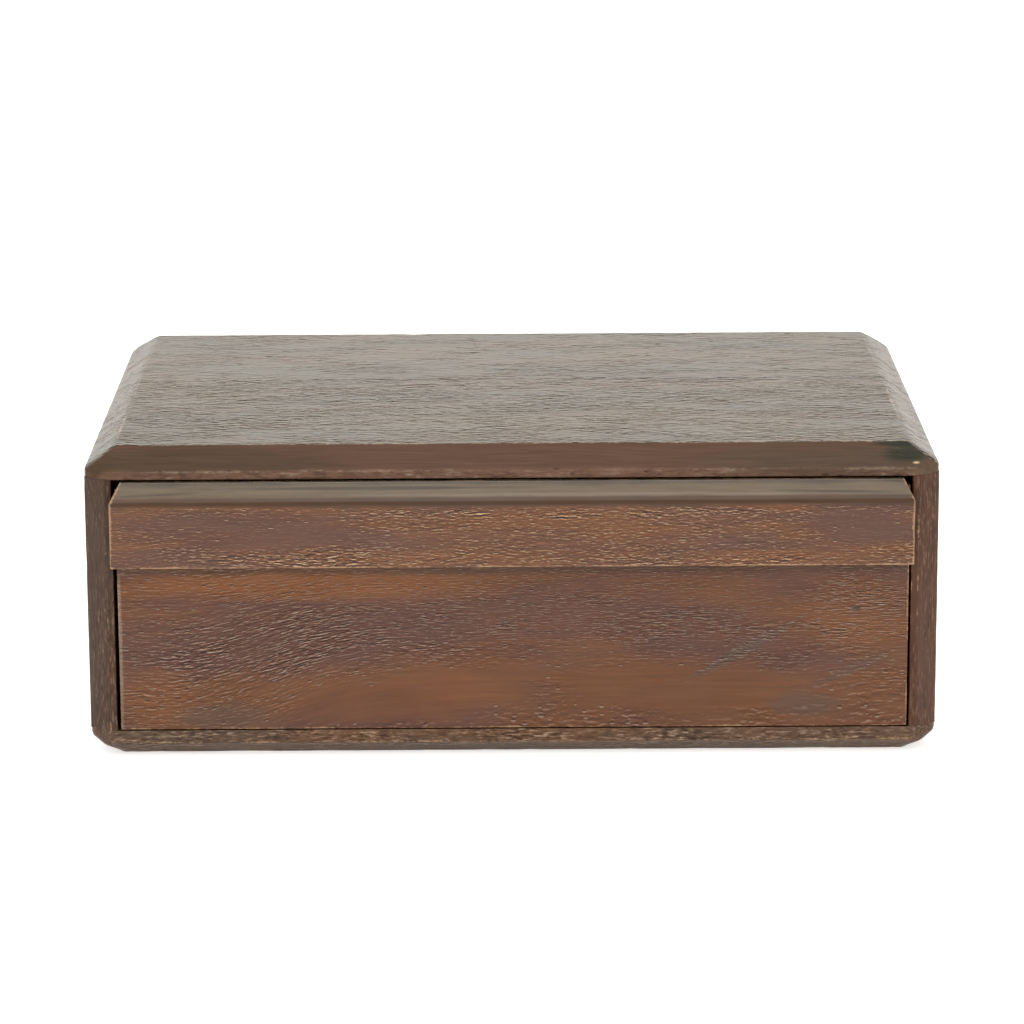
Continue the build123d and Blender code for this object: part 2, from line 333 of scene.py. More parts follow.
def timber(name, lies=FLAT, start=(0, 0, 0), warm=WARM, cool=COOL, worn=WORN, flank_highlight=FLANK_HIGHLIGHT,
           zone_bias=0.0, zone_size=(90.0, 22.0), fibre=0.8, sweep=None, wander=(5.0, 60.0),
           openness=0.5, ridge_size=(4.0, 0.72), ridge_dark=0.95, ridge_pale=0.6,
           pore_size=(2.4, 0.42), pore_dark=0.6, lip_pale=0.7, pore_share=0.5,
           glint=GLINT, glint_pale=0.7, relief=0.3, waxed=0.55, bare=0.5, roughness=0.32,
           wear=0.25, front_edge=None, patches=()):
    """Stained, waxed board. lies turns the pattern so that its first axis runs with the grain.

    Openness, 0 to 1, says how far ridges and pores stand out; patches tint it and change it.
    With a front_edge colour, the faces that look forward are smooth, dull and of that colour.
    """
    material = bpy.data.materials.new(name)
    material.use_nodes = True
    tree = material.node_tree
    tree.nodes.clear()
    place = add_node(tree, "ShaderNodeTexCoord").outputs["Object"]
    mapping = add_node(tree, "ShaderNodeMapping", {
        "Vector": place, "Location": start, "Rotation": lies, "Scale": (1 / MM,) * 3})
    position = mapping.outputs["Vector"]
    flow = {"Position": position, "Wander": wander[0], "Wander Size": wander[1]}
    if sweep:
        flow.update(zip(("Sweep Rise", "Sweep Start", "Sweep Length", "Sweep Middle",
                         "Sweep Reach"), sweep))
    grain = use_group(tree, GRAIN_FLOW, flow)["Grain"]
    tone = use_group(tree, TIMBER_TONE, {
        "Grain": grain, "Warm": warm, "Cool": cool, "Zone Length": zone_size[0],
        "Zone Width": zone_size[1], "Zone Bias": zone_bias})
    colour, open_here, dull = tone["Colour"], openness, 0.0
    if front_edge:
        dull = add_node(tree, "ShaderNodeAttribute", attribute_name="forward").outputs["Fac"]
        colour = blend_colour(tree, calc(tree, "MULTIPLY", dull, FRONT_COVER), colour, front_edge)
        open_here = calc(tree, "MULTIPLY_ADD", dull, -openness, openness)
    for centre, half_size, tilt, tint, strength, more_open in patches:
        patch = use_group(tree, SOFT_PATCH, {
            "Position": position, "Centre": centre, "Half Size": half_size,
            "Tilt": radians(tilt)})["Patch"]
        colour = blend_colour(tree, calc(tree, "MULTIPLY", patch, strength), colour, tint)
        open_here = calc(tree, "MULTIPLY_ADD", patch, more_open, open_here)
    shade = calc(tree, "MULTIPLY_ADD", calc(tree, "SUBTRACT", tone["Fibre"], 0.5), fibre, 1.0)
    colour = blend_colour(tree, 1.0, colour, join_xyz(tree, shade, shade, shade), "MULTIPLY")
    cluster_at = vector_calc(tree, "MULTIPLY", grain, (0.035, 0.12, 0.12))
    cluster = smooth(tree, noise(tree, cluster_at, 1.0, detail=3.0, roughness=0.6), 0.36, 0.64)
    spread = calc(tree, "ADD", cluster, 0.5)
    open_here = calc(tree, "MAXIMUM", calc(tree, "MULTIPLY", open_here, spread), 0.0)
    ridges = use_group(tree, RAISED_GRAIN, {
        "Grain": grain, "Length": ridge_size[0], "Width": ridge_size[1]})
    marks = use_group(tree, OPEN_PORES, {
        "Grain": grain, "Length": pore_size[0], "Width": pore_size[1],
        "Share": calc(tree, "MULTIPLY", open_here, pore_share)})
    arris = add_node(tree, "ShaderNodeAttribute", attribute_name="arris").outputs["Fac"]
    worn_edge = use_group(tree, EDGE_WEAR, {
        "Arris": arris, "Position": position, "Amount": wear})["Wear"]
    if front_edge:
        kept = calc(tree, "MULTIPLY_ADD", dull, FRONT_WEAR - 1.0, 1.0)
        worn_edge = calc(tree, "MULTIPLY", worn_edge, kept)
    # Painted shade: ridge flanks that look down and the pores are darkened; in the pores this is partly
    # their own dark core.
    ridge_shade = calc(tree, "MULTIPLY", ridges["Lower Flank"], open_here)
    ridge_light = calc(tree, "MULTIPLY", ridges["Upper Flank"], open_here)
    dark = calc(tree, "MAXIMUM", calc(tree, "MULTIPLY", marks["Pores"], pore_dark),
                calc(tree, "MULTIPLY", ridge_shade, ridge_dark))
    pale = calc(tree, "MULTIPLY", ridge_light, ridge_pale)
    # Painted highlight: ridge flanks that look up are painted paler, as if lit from above.
    lit = blend_colour(tree, 1.0, colour, (LIT_GAIN, LIT_GAIN, LIT_GAIN, 1), "MULTIPLY")
    lit = blend_colour(tree, HIGHLIGHT_TINT_SHARE, lit, flank_highlight)
    colour = blend_colour(tree, dark, colour, PORE_AND_SHADE)
    colour = blend_colour(tree, pale, colour, lit)
    # Painted glints: the steepest upward ridge flanks and the lip below each pore are painted in the
    # glint colour.
    bright = calc(tree, "MAXIMUM", calc(tree, "MULTIPLY", ridges["Glint"], open_here),
                  calc(tree, "MULTIPLY", marks["Lip"], lip_pale))
    colour = blend_colour(tree, calc(tree, "MULTIPLY", bright, glint_pale, clamp=True), colour, glint)
    colour = blend_colour(tree, calc(tree, "MULTIPLY", worn_edge, WORN_COVER), colour, worn)
    hollows = calc(tree, "MULTIPLY", noise(tree, position, 0.10, detail=2.0), 0.3)
    ridge_height = calc(tree, "MULTIPLY", ridges["Height"], open_here)
    height = calc(tree, "MULTIPLY_ADD", marks["Pores"], -PORE_DEPTH,
                  calc(tree, "MULTIPLY_ADD", ridge_height, relief, hollows))
    bump = add_node(tree, "ShaderNodeBump", {"Height": height, "Strength": 1.0, "Distance": MM})
    gloss = calc(tree, "MULTIPLY_ADD", dark, 0.25, roughness)
    gloss = calc(tree, "MULTIPLY_ADD", worn_edge, 0.15, gloss)
    wax = calc(tree, "MULTIPLY_ADD", calc(tree, "MAXIMUM", ridge_shade, marks["Pores"]),
               -waxed * bare, calc(tree, "MULTIPLY_ADD", cluster, -0.25 * waxed, 1.1 * waxed),
               clamp=True)
    if front_edge:
        wax = calc(tree, "MULTIPLY", wax, calc(tree, "SUBTRACT", 1.0, dull))
        gloss = calc(tree, "MULTIPLY_ADD", dull, FRONT_DULLNESS, gloss)
    surface = add_node(tree, "ShaderNodeBsdfPrincipled", {
        "Base Color": colour, "Roughness": gloss, "Normal": bump.outputs["Normal"], "IOR": 1.18,
        "Coat Weight": wax, "Coat Roughness": roughness, "Coat IOR": 1.4})
    add_node(tree, "ShaderNodeOutputMaterial", {"Surface": surface.outputs["BSDF"]})
    return material


# ---------------------------------------------------------------- boards

def outer_faces(bm):
    """Faces that bound the board from outside, not those of its holes and grooves."""
    corners = np.array([v.co for v in bm.verts])
    found = set()
    for face in bm.faces:
        beyond = corners @ np.array(face.normal) - face.normal.dot(face.verts[0].co)
        if beyond.max() < FLUSH:
            found.add(face)
    return found


def planes_of(faces):
    """One point and normal for each different plane among the faces."""
    planes = {}
    for face in faces:
        key = tuple(round(c, 3) for c in face.normal)
        planes.setdefault(key, (face.verts[0].co.copy(), face.normal.copy()))
    return list(planes.values())


def on_glue_line(edge, glue):
    """Whether an edge lies where this board is glued to another, as (axis, place) pairs say."""
    return any(all(abs(v.co[axis] - at) < ON_LINE for v in edge.verts) for axis, at in glue)


def cut_all(bm, point, normal):
    """Cuts every face along a plane and keeps both sides."""
    bmesh.ops.bisect_plane(bm, geom=bm.verts[:] + bm.edges[:] + bm.faces[:], dist=1e-7,
                           plane_co=point, plane_no=normal)


def distance_to_lines(points, lines):
    """Least distance from each point to any of the line pieces."""
    least = np.full(len(points), 1.0)
    for a, b in lines:
        run = b - a
        share = np.clip(((points - a) @ run) / (run @ run), 0, 1)
        least = np.minimum(least, np.linalg.norm(points - (a + share[:, None] * run), axis=1))
    return least


def soften(bm, widest, arris, side_round, glue):
    """Weighs the outer arrises of a merged board for rounding; tells their lines and planes.

    Where side_round is given, the edges down the two sides and across the corners are
    rounded further, by up to that much.
    """
    outer = outer_faces(bm)
    weight = bm.edges.layers.float.new("bevel_weight_edge")
    lines, planes = [], planes_of(outer)
    for edge in bm.edges:
        if len(edge.link_faces) == 2 and edge.calc_face_angle(0) > ARRIS_ANGLE:
            if all(face in outer for face in edge.link_faces):
                run = edge.verts[1].co - edge.verts[0].co
                if on_glue_line(edge, glue):
                    edge[weight] = 0 if side_round else TIGHT_ARRIS / widest
                elif side_round and abs(run.x) < 0.9 * run.length:
                    edge[weight] = 0.6 if abs(run.y) > 50 * MM else 1
                else:
                    edge[weight] = arris / widest
                    lines.append([np.array(v.co) for v in edge.verts])
    return lines, planes


def as_object(name, mesh):
    obj = bpy.data.objects.new(name, mesh)
    bpy.context.scene.collection.objects.link(obj)
    return obj


def evaluated_mesh(obj):
    """The object's mesh with its modifiers made real."""
    graph = bpy.context.evaluated_depsgraph_get()
    mesh = bpy.data.meshes.new_from_object(obj.evaluated_get(graph), depsgraph=graph)
    obj.modifiers.clear()
    return mesh


def rounded(obj, width):
    """The object's mesh with its weighted edges rounded by up to a width."""
    bevel = obj.modifiers.new("arris", "BEVEL")
    bevel.width, bevel.segments, bevel.limit_method = width, 4, "WEIGHT"
    bevel.use_clamp_overlap = True
    return evaluated_mesh(obj)


def board_mesh(node, arris=ARRIS, glue=(), grid=GRID, side_round=0.0, worn_lines=()):
    """A CAD board's own shape with soft arrises, cut finely enough to be shaped by hand."""
    bm = bmesh.new()
    bm.from_mesh(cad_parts[node].data)
    bmesh.ops.remove_doubles(bm, verts=bm.verts, dist=SAME_CORNER)
    bmesh.ops.dissolve_limit(bm, angle_limit=SAME_PLANE, verts=bm.verts[:], edges=bm.edges[:])
    forward = bm.faces.layers.float.new("forward")
    for face in bm.faces:
        face[forward] = float(face.normal.y < -0.3)
    widest = max(arris, side_round)
    lines, planes = soften(bm, widest, arris, side_round, glue)
    rough = bpy.data.meshes.new(node + "_rough")
    bm.to_mesh(rough)
    holder = as_object(node + "_rough", rough)
    mesh = rounded(holder, widest)
    bpy.data.objects.remove(holder)
    bm.clear()
    bm.from_mesh(mesh)
    for point, normal in planes:
        cut_all(bm, point - normal * (arris + 0.15 * MM), normal)
        cut_all(bm, point - normal * (arris + WEAR_REACH), normal)
    low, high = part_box(node)
    for axis in range(3):
        count = int((high[axis] - low[axis]) / grid)
        for step in range(1, count):
            point, normal = Vector(low), Vector((0, 0, 0))
            point[axis] += (high[axis] - low[axis]) * step / count
            normal[axis] = 1
            cut_all(bm, point, normal)
    bm.to_mesh(mesh)
    bm.free()
    points = np.array([v.co for v in mesh.vertices])
    lines += [[np.array(end) for end in line] for line in worn_lines]
    near = 1 - distance_to_lines(points, lines) / (arris + WEAR_REACH)
    layer = mesh.attributes.new("arris", "FLOAT", "POINT")
    layer.data.foreach_set("value", np.clip(near, 0, 1).astype(np.float32))
    return mesh


# ---------------------------------------------------------------- geometry trees

def geometry_group(name, inputs):
    """An empty geometry tree with named inputs, and its geometry in and out."""
    tree = bpy.data.node_groups.new(name, "GeometryNodeTree")
    tree.interface.new_socket("Geometry", in_out="INPUT", socket_type="NodeSocketGeometry")
    for label, (kind, value) in inputs.items():
        socket = tree.interface.new_socket(label, in_out="INPUT", socket_type=kind)
        if value is not None:
            socket.default_value = value
    tree.interface.new_socket("Geometry", in_out="OUTPUT", socket_type="NodeSocketGeometry")
    return tree, tree.nodes.new("NodeGroupInput").outputs, tree.nodes.new("NodeGroupOutput").inputs


def finish_tree(tree, geometry, given, result):
    """Every tree ends with real geometry that carries its finish."""
    real = add_node(tree, "GeometryNodeRealizeInstances", {"Geometry": geometry}).outputs[0]
    painted = add_node(tree, "GeometryNodeSetMaterial", {"Geometry": real,
                       "Material": given["Finish"]}).outputs[0]
    feed(tree, result["Geometry"], painted)


def make_hand_planed():
    """Slight hollows left by a plane, and small nicks along the arrises."""
    tree, given, result = geometry_group("hand_planed", {
        "Hollow Depth": (FLOAT, 0.00012), "Hollow Size": (FLOAT, 0.035),
        "Nick Depth": (FLOAT, 0.0003), "Nick Size": (FLOAT, 0.009), "Seed": (FLOAT, 0.0),
        "Finish": ("NodeSocketMaterial", None)})
    place = add_node(tree, "GeometryNodeInputPosition").outputs[0]
    normal = add_node(tree, "GeometryNodeInputNormal").outputs[0]
    shifted = vector_calc(tree, "ADD", place, join_xyz(tree, 0.0, 0.0, given["Seed"]))
    hollow = noise(tree, shifted, calc(tree, "DIVIDE", 1.0, given["Hollow Size"]), detail=1.0)
    nick = noise(tree, shifted, calc(tree, "DIVIDE", 1.0, given["Nick Size"]), detail=2.0)
    arris = add_node(tree, "GeometryNodeInputNamedAttribute", {"Name": "arris"},
                     data_type="FLOAT").outputs["Attribute"]
    dip = calc(tree, "MULTIPLY", calc(tree, "SUBTRACT", hollow, 0.62), given["Hollow Depth"])
    bite = calc(tree, "MULTIPLY", calc(tree, "MULTIPLY", smooth(tree, nick, 0.5, 0.75), arris),
                given["Nick Depth"])
    offset = add_node(tree, "ShaderNodeVectorMath", {
        0: normal, "Scale": calc(tree, "SUBTRACT", dip, bite)}, operation="SCALE").outputs["Vector"]
    moved = add_node(tree, "GeometryNodeSetPosition", {"Geometry": given["Geometry"],
                     "Offset": offset}).outputs[0]
    finish_tree(tree, moved, given, result)
    return tree


HAND_PLANED = make_hand_planed()


def run_tree(obj, tree, values):
    """Runs a geometry tree on an object and keeps its result as a plain mesh."""
    modifier = obj.modifiers.new(tree.name, "NODES")
    modifier.node_group = tree
    sockets = {s.name: s.identifier for s in tree.interface.items_tree if s.in_out == "INPUT"}
    for name, value in values.items():
        modifier[sockets[name]] = value
    obj.data = evaluated_mesh(obj)
    return obj


def settle(obj, node, body):
    """Crisp flat faces, and the piece's place in the frame."""
    obj.data.shade_smooth()
    obj.data.set_sharp_from_angle(angle=CRISP_ANGLE)
    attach(obj, body)
    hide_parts(node)
    return obj


def dressed_board(node, body, slot_name, material, seed=0.0, hollow=0.10, nick=0.15, **shape):
    """One finished board that stands for its CAD node."""
    obj = as_object(node + "_board", board_mesh(node, **shape))
    run_tree(obj, HAND_PLANED, {"Finish": material, "Seed": seed, "Hollow Depth": hollow * MM,
                                "Nick Depth": nick * MM})
    return settle(obj, node, body)


# ---------------------------------------------------------------- the case

def build_case():
    top_glue = [(1, TOP_SEAM_Y), (2, CEILING_Z)]
    bottom_glue = [(1, BOTTOM_SEAM_Y), (2, FLOOR_Z)]
    side_glue = [(2, CEILING_Z), (2, FLOOR_Z)]
    top_warm, top_cool = (0.078, 0.042, 0.014, 1), (0.050, 0.038, 0.017, 1)
    edge_brown, russet = (0.091, 0.049, 0.034, 1), (0.160, 0.088, 0.060, 1)
    # Colours of the painted highlight on upward ridge flanks and of the painted glints on the top boards.
    top_flank_highlight, top_glint = (0.20, 0.165, 0.12, 1), (0.34, 0.30, 0.22, 1)
    soot, bare_wood = (0.022, 0.026, 0.018, 1), (0.60, 0.44, 0.28, 1)
    front_y, seam_y, lip_z = FACE_Y / MM, TOP_SEAM_Y / MM, CEILING_Z / MM
    seam = ((0, seam_y, 0), (400, 1.6, 1000), 0, (0.02, 0.015, 0.01, 1), 0.9, 0.6)
    top = dict(warm=top_warm, cool=top_cool, flank_highlight=top_flank_highlight, glint=top_glint, ridge_dark=1.0,
               ridge_pale=0.3, glint_pale=0.6, waxed=1.0, bare=1.0, worn=(0.40, 0.32, 0.23, 1), wear=0.3)
    top_front = timber(
        "top_front_timber", FLAT, openness=1.15, ridge_size=(4.8, 1.4), relief=0.6,
        wander=(7.0, 30.0), pore_size=(4.0, 0.8), front_edge=edge_brown, patches=(
            # middle, half size, tilt, tint, strength, more open
            ((-110, front_y, 107), (60, 14, 8), 0, (0.048, 0.034, 0.021, 1), 0.6, 0.0),
            ((0, front_y - 1, lip_z), (400, 3.0, 4.2), 0, russet, 0.8, 0.3),
            ((-146, 0, 106), (9, 400, 8), 0, top_cool, 0.3, -0.45),
            ((146, 0, 106), (9, 400, 8), 0, (0.110, 0.080, 0.050, 1), 0.5, -0.45),
            ((-120, -55, 0), (30, 14, 1000), 0, top_cool, 0.6, 0.3),
            ((-40, -20, 0), (90, 9, 1000), 2, top_cool, 0.5, 0.3),
            ((60, -70, 0), (70, 10, 1000), 0, top_warm, 0.5, -0.3),
            ((110, front_y, 107), (52, 14, 8), 0, (0.062, 0.046, 0.034, 1), 0.6, 0.0),
            ((139, front_y + 4, 108.5), (10, 8, 4.5), 0, soot, 0.85, 0.1),
            ((135, front_y + 9, 110.5), (10, 1.4, 2.0), 0, soot, 0.8, 0.0),
            ((141.5, front_y + 1, 105), (1.6, 3, 0.5), 8, bare_wood, 0.7, 0.0), seam), **top)
    top_rear = timber(
        "top_rear_timber", FLAT, openness=0.55, ridge_size=(5.5, 1.6), relief=0.45,
        wander=(6.0, 36.0), pore_size=(4.0, 0.8), patches=(seam,), **top)
    bottom = timber("bottom_timber", FLAT, (-500, -80, 0), warm=(0.120, 0.056, 0.026, 1),
                    cool=(0.090, 0.052, 0.031, 1), ridge_size=(3.5, 0.7), ridge_dark=0.6,
                    openness=0.8, glint_pale=0.5, lip_pale=0.4, waxed=0.32, patches=(
                        ((-500, -180, -0.5), (400, 9, 6), 0, (0.050, 0.026, 0.012, 1), 0.75, -0.5),
                        ((-653, 0, 0), (11, 1000, 1000), 0, (0.056, 0.026, 0.010, 1), 0.9, -0.7),
                        ((-347, 0, 0), (11, 1000, 1000), 0, (0.066, 0.028, 0.010, 1), 0.9, -0.6)))
    side_warm, side_cool = (0.068, 0.024, 0.008, 1), (0.048, 0.024, 0.012, 1)
    left = timber("left_side_timber", UPRIGHT, (0, 70, 0), warm=side_warm, cool=side_cool,
                  zone_bias=0.1, openness=0.35, ridge_pale=0.3, lip_pale=0.2,
                  glint_pale=0.35, waxed=0.38, wear=0.15)
    right = timber("right_side_timber", UPRIGHT, (210, 10, 40), warm=side_warm, cool=side_cool,
                   zone_bias=-0.1, openness=0.35, ridge_pale=0.3, lip_pale=0.2,
                  glint_pale=0.35, waxed=0.38, wear=0.15)
    back = timber("back_timber", FACING, (120, 0, 500), warm=side_warm, cool=side_cool)
    side_lines = [[Vector((x, top_low.y, top_high.z)), Vector((x, rear_top_high.y, top_high.z))]
                  for x in (top_low.x + SIDE_CUT, top_high.x - SIDE_CUT)]
    dressed_board("top_front_board", "case", "case_wood", top_front, glue=top_glue, seed=0.1,
                  side_round=SIDE_ROUND, worn_lines=side_lines)
    dressed_board("top_rear_board", "case", "case_wood", top_rear, glue=top_glue, seed=0.1,
                  side_round=SIDE_ROUND, worn_lines=side_lines)
    for node in ("bottom_front_board", "bottom_rear_board"):
        dressed_board(node, "case", "case_wood", bottom, glue=bottom_glue, seed=0.3,
                      side_round=SIDE_ROUND)
    dressed_board("left_side", "case", "case_wood", left, glue=side_glue, seed=0.5)
    dressed_board("right_side", "case", "case_wood", right, glue=side_glue, seed=0.7)
    back_low, back_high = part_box("back_panel")
    dressed_board("back_panel", "case", "case_wood", back, glue=side_glue + [
        (0, back_low.x), (0, back_high.x)], seed=0.9)


# ---------------------------------------------------------------- the drawer and its latch

def build_drawer_front():
    """A wild board: cool, porous grain sweeps up from the left between warm, smooth zones."""
    orange, cool = (0.158, 0.051, 0.010, 1), (0.076, 0.027, 0.018, 1)
    brown, grey = (0.113, 0.039, 0.011, 1), (0.074, 0.042, 0.028, 1)
    dark, shadow = (0.040, 0.026, 0.020, 1), (0.050, 0.019, 0.006, 1)
    face = timber(
        "drawer_face_timber", FACING, warm=brown, cool=cool, wear=0.40, openness=0.3,
        sweep=(18.0, -122.0, 80.0, 33.0, 34.0), zone_size=(60.0, 14.0), zone_bias=-0.03,
        wander=(4.0, 40.0), pore_share=0.9, patches=(
            # middle, half size, tilt, tint, strength, more open
            ((-70, 44, 0), (78, 16, 1000), 4, cool, 0.9, 0.6),
            ((35, 50, 0), (75, 9, 1000), -4, cool, 0.7, 0.3),
            ((-75, 63, 0), (72, 7.5, 1000), -1, orange, 0.9, 0.1),
            ((-124, 22, 0), (14, 12, 1000), 30, orange, 0.5, 0.3),
            ((-100, 14, 0), (20, 6, 1000), 0, grey, 0.6, -0.1),
            ((-35, 22, 0), (52, 11, 1000), 8, orange, 0.4, -0.45),
            ((60, 24, 0), (60, 12, 1000), 0, brown, 0.8, -0.3),
            ((122, 52, 0), (20, 16, 1000), 0, orange, 0.4, 0.5),
            ((-138.2, 40, 0), (0.8, 40, 1000), 0, (0.20, 0.14, 0.10, 1), 0.7, 0.0),
            ((83, 39, 0), (25, 2.2, 1000), 29, grey, 0.85, 0.4),
            ((118, 30, 0), (18, 2.0, 1000), 24, grey, 0.5, 0.3),
            ((103, 18, 0), (13, 5, 1000), 0, grey, 0.6, 0.0),
            ((120.6, 53, 0), (2.2, 1.2, 1000), 0, dark, 0.8, 0.0),
            ((-3, 48.5, 0), (2.4, 1.2, 1000), 0, dark, 0.7, 0.0),
            ((0, 68.3, 0), (400, 2.4, 1000), 0, shadow, 0.7, 0.0)))
    dressed_board("drawer_front", "drawer", "drawer_face_wood", face, arris=0.4 * MM, seed=1.1)


def build_batten():
    """Pull batten: greyed and smooth on its slope, worn through to pale wood along its edges."""
    orange, cool = (0.128, 0.044, 0.012, 1), (0.084, 0.033, 0.020, 1)
    slope, crest_shade_and_streak = (0.112, 0.078, 0.047, 1), (0.040, 0.028, 0.018, 1)
    shade = (0.050, 0.024, 0.010, 1)
    face = timber(
        "batten_timber", FACING, warm=orange, cool=cool, wear=0.5, openness=0.45,
        # Painted highlight on upward ridge flanks in pale tan, and painted glints in a paler tan.
        ridge_size=(3.0, 0.62), zone_size=(50.0, 7.0), flank_highlight=(0.30, 0.19, 0.11, 1),
        glint=(0.52, 0.36, 0.22, 1), pore_share=0.9, waxed=0.7, bare=0.3, wander=(4.0, 34.0), patches=(
            ((-95, 84, 0), (50, 9, 1000), 0, cool, 0.8, -0.3),
            ((10, 84, 0), (70, 9, 1000), 0, orange, 0.5, 0.0),
            ((122, 84, 0), (24, 9, 1000), 0, cool, 0.8, -0.3),
            ((-60, 74.0, 0), (60, 4.0, 1000), 0, orange, 0.4, 0.7),
            ((20, 90, 0), (75, 2.2, 1000), 0, orange, 0.5, 0.7),
            ((60, 72.5, 0), (70, 2.0, 1000), 0, orange, 0.3, 0.5),
            # Painted shade: the top of the slope, under the case's front edge, is darkened; the thin dark
            # lines further down are streaks in the wood.
            ((0, 99.0, 0), (500, 4.6, 1000), 0, crest_shade_and_streak, 1.0, -1.4),
            ((0, 97.3, 0), (500, 2.6, 1000), 0, slope, 0.9, -1.0),
            ((40, 96.0, 0), (110, 0.7, 1000), 0, (0.165, 0.125, 0.090, 1), 0.6, 0.0),
            ((-50, 98.2, 0), (60, 0.6, 1000), 0, crest_shade_and_streak, 0.8, 0.0),
            ((-125, 96.5, 0), (16, 0.5, 1000), 2, crest_shade_and_streak, 0.6, 0.0),
            ((112, 96.6, 0), (28, 0.5, 1000), -1, crest_shade_and_streak, 0.7, 0.0),
            ((0, 94.0, 0), (500, 1.9, 1000), 0, shade, 0.9, -1.0)))
    lower = [Vector((x, batten_low.y, batten_low.z)) for x in (batten_low.x, batten_high.x)]
    dressed_board("pull_batten", "latch", "batten_wood", face, arris=0.4 * MM, seed=1.3,
                  worn_lines=[lower])


def build_inside():
    """Plain, unwaxed pieces that only show when the drawer is out."""
    pale, pale_cool, worn_and_highlight = (0.40, 0.25, 0.135, 1), (0.33, 0.20, 0.105, 1), (0.52, 0.38, 0.24, 1)
    # The last pale colour on the line above serves both the worn arrises and the painted highlight on
    # upward ridge flanks.
    plain = dict(warm=pale, cool=pale_cool, worn=worn_and_highlight, flank_highlight=worn_and_highlight, ridge_dark=0.35,
                 ridge_pale=0.4, pore_dark=0.5, openness=0.35, waxed=0.08, roughness=0.6, wear=0.2)
    level = timber("inner_level_timber", FACING, (80, 30, 0), **plain)
    run_back = timber("inner_running_timber", RUNNING_BACK, (20, 60, 0), **plain)
    panel = timber("panel_timber", RUNNING_BACK, (300, 0, 0), warm=(0.50, 0.34, 0.19, 1),
                   cool=(0.44, 0.30, 0.17, 1), worn=worn_and_highlight, flank_highlight=worn_and_highlight, ridge_dark=0.25,
                   ridge_pale=0.3, openness=0.25, waxed=0.1, roughness=0.5, wear=0.1,
                   zone_size=(160.0, 30.0))
    inner, small = "inner_wood", dict(arris=0.3 * MM, grid=8 * MM)
    for side in ("left", "right"):
        dressed_board(side + "_runner", "case", inner, run_back, **small)
        dressed_board(side + "_kicker", "case", inner, run_back, **small)
        dressed_board("drawer_" + side + "_side", "drawer", inner, run_back, **small)
        dressed_board(side + "_carrier_key", "latch", inner, run_back, **small)
    dressed_board("stop_rail", "case", inner, level, **small)
    dressed_board("drawer_back", "drawer", inner, level, **small)
    dressed_board("latch_bar", "latch", inner, level, **small)
    dressed_board("drawer_bottom", "drawer", "panel_wood", panel, **small)


# ---------------------------------------------------------------- dowels, pegs and pins

def make_peg_row():
    """Fluted pegs, one on each point, turned and stretched by the points' own values."""
    tree, given, result = geometry_group("peg_row", {
        "Radius": (FLOAT, 0.0025), "Length": (FLOAT, 0.016), "Flutes": (FLOAT, 9.0),
        "Flute Depth": (FLOAT, 0.05), "End Taper": (FLOAT, 0.14), "Finish": ("NodeSocketMaterial", None)})
    rod = add_node(tree, "GeometryNodeMeshCylinder", {
        "Vertices": 72, "Side Segments": 16, "Fill Segments": 1, "Radius": given["Radius"],
        "Depth": given["Length"]}, fill_type="NGON").outputs["Mesh"]
    x, y, z = split_xyz(tree, add_node(tree, "GeometryNodeInputPosition").outputs[0])
    round_way = calc(tree, "MULTIPLY", calc(tree, "ARCTAN2", y, x), given["Flutes"])
    groove = calc(tree, "MULTIPLY", calc(tree, "MULTIPLY_ADD", calc(tree, "COSINE", round_way), 0.5, 0.5),
                  given["Flute Depth"])
    from_middle = calc(tree, "DIVIDE", calc(tree, "ABSOLUTE", z), given["Length"])
    taper = calc(tree, "MULTIPLY", smooth(tree, from_middle, 0.43, 0.5), given["End Taper"])
    shrink = calc(tree, "MULTIPLY", calc(tree, "ADD", groove, taper), -1.0)
    offset = join_xyz(tree, calc(tree, "MULTIPLY", x, shrink), calc(tree, "MULTIPLY", y, shrink), 0.0)
    peg = add_node(tree, "GeometryNodeSetPosition", {"Geometry": rod, "Offset": offset}).outputs[0]
    turn, stretch = (add_node(tree, "GeometryNodeInputNamedAttribute", {"Name": name},
                              data_type="FLOAT_VECTOR").outputs["Attribute"]
                     for name in ("turn", "stretch"))
    row = add_node(tree, "GeometryNodeInstanceOnPoints", {
        "Points": given["Geometry"], "Instance": peg, "Scale": stretch,
        "Rotation": add_node(tree, "FunctionNodeEulerToRotation", {"Euler": turn}).outputs[0]})
    finish_tree(tree, row.outputs[0], given, result)
    return tree


def peg_places(node):
    """Middle, long axis and size of each separate peg of a CAD node."""
    bm = bmesh.new()
    bm.from_mesh(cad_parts[node].data)
    bmesh.ops.remove_doubles(bm, verts=bm.verts, dist=SAME_CORNER)
    left, places = set(bm.verts), []
    while left:
        found, waiting = set(), [left.pop()]
        while waiting:
            vert = waiting.pop()
            found.add(vert)
            for edge in vert.link_edges:
                other = edge.other_vert(vert)
                if other in left:
                    left.discard(other)
                    waiting.append(other)
        corners = np.array([v.co for v in found])
        low, high = corners.min(0), corners.max(0)
        places.append(((low + high) / 2, int(np.argmax(high - low)), high - low))
    bm.free()
    return places


def build_pegs(tree, node, body, slot_name, material, **shape):
    """All the pegs of one CAD node, as one piece."""
    places = peg_places(node)
    turns = {0: (0, pi / 2, 0), 1: (pi / 2, 0, 0), 2: (0, 0, 0)}
    longest = max(size[axis] for _, axis, size in places)
    radius = min(min(size) for _, _, size in places) / 2
    mesh = bpy.data.meshes.new(node + "_points")
    mesh.from_pydata([tuple(middle) for middle, _, _ in places], [], [])
    turn = mesh.attributes.new("turn", "FLOAT_VECTOR", "POINT")
    stretch = mesh.attributes.new("stretch", "FLOAT_VECTOR", "POINT")
    for number, (_, axis, size) in enumerate(places):
        turn.data[number].vector = turns[axis]
        stretch.data[number].vector = (1, 1, size[axis] / longest)
    obj = as_object(node + "_pegs", mesh)
    run_tree(obj, tree, {"Finish": material, "Radius": float(radius), "Length": float(longest), **shape})
    settle(obj, node, body)


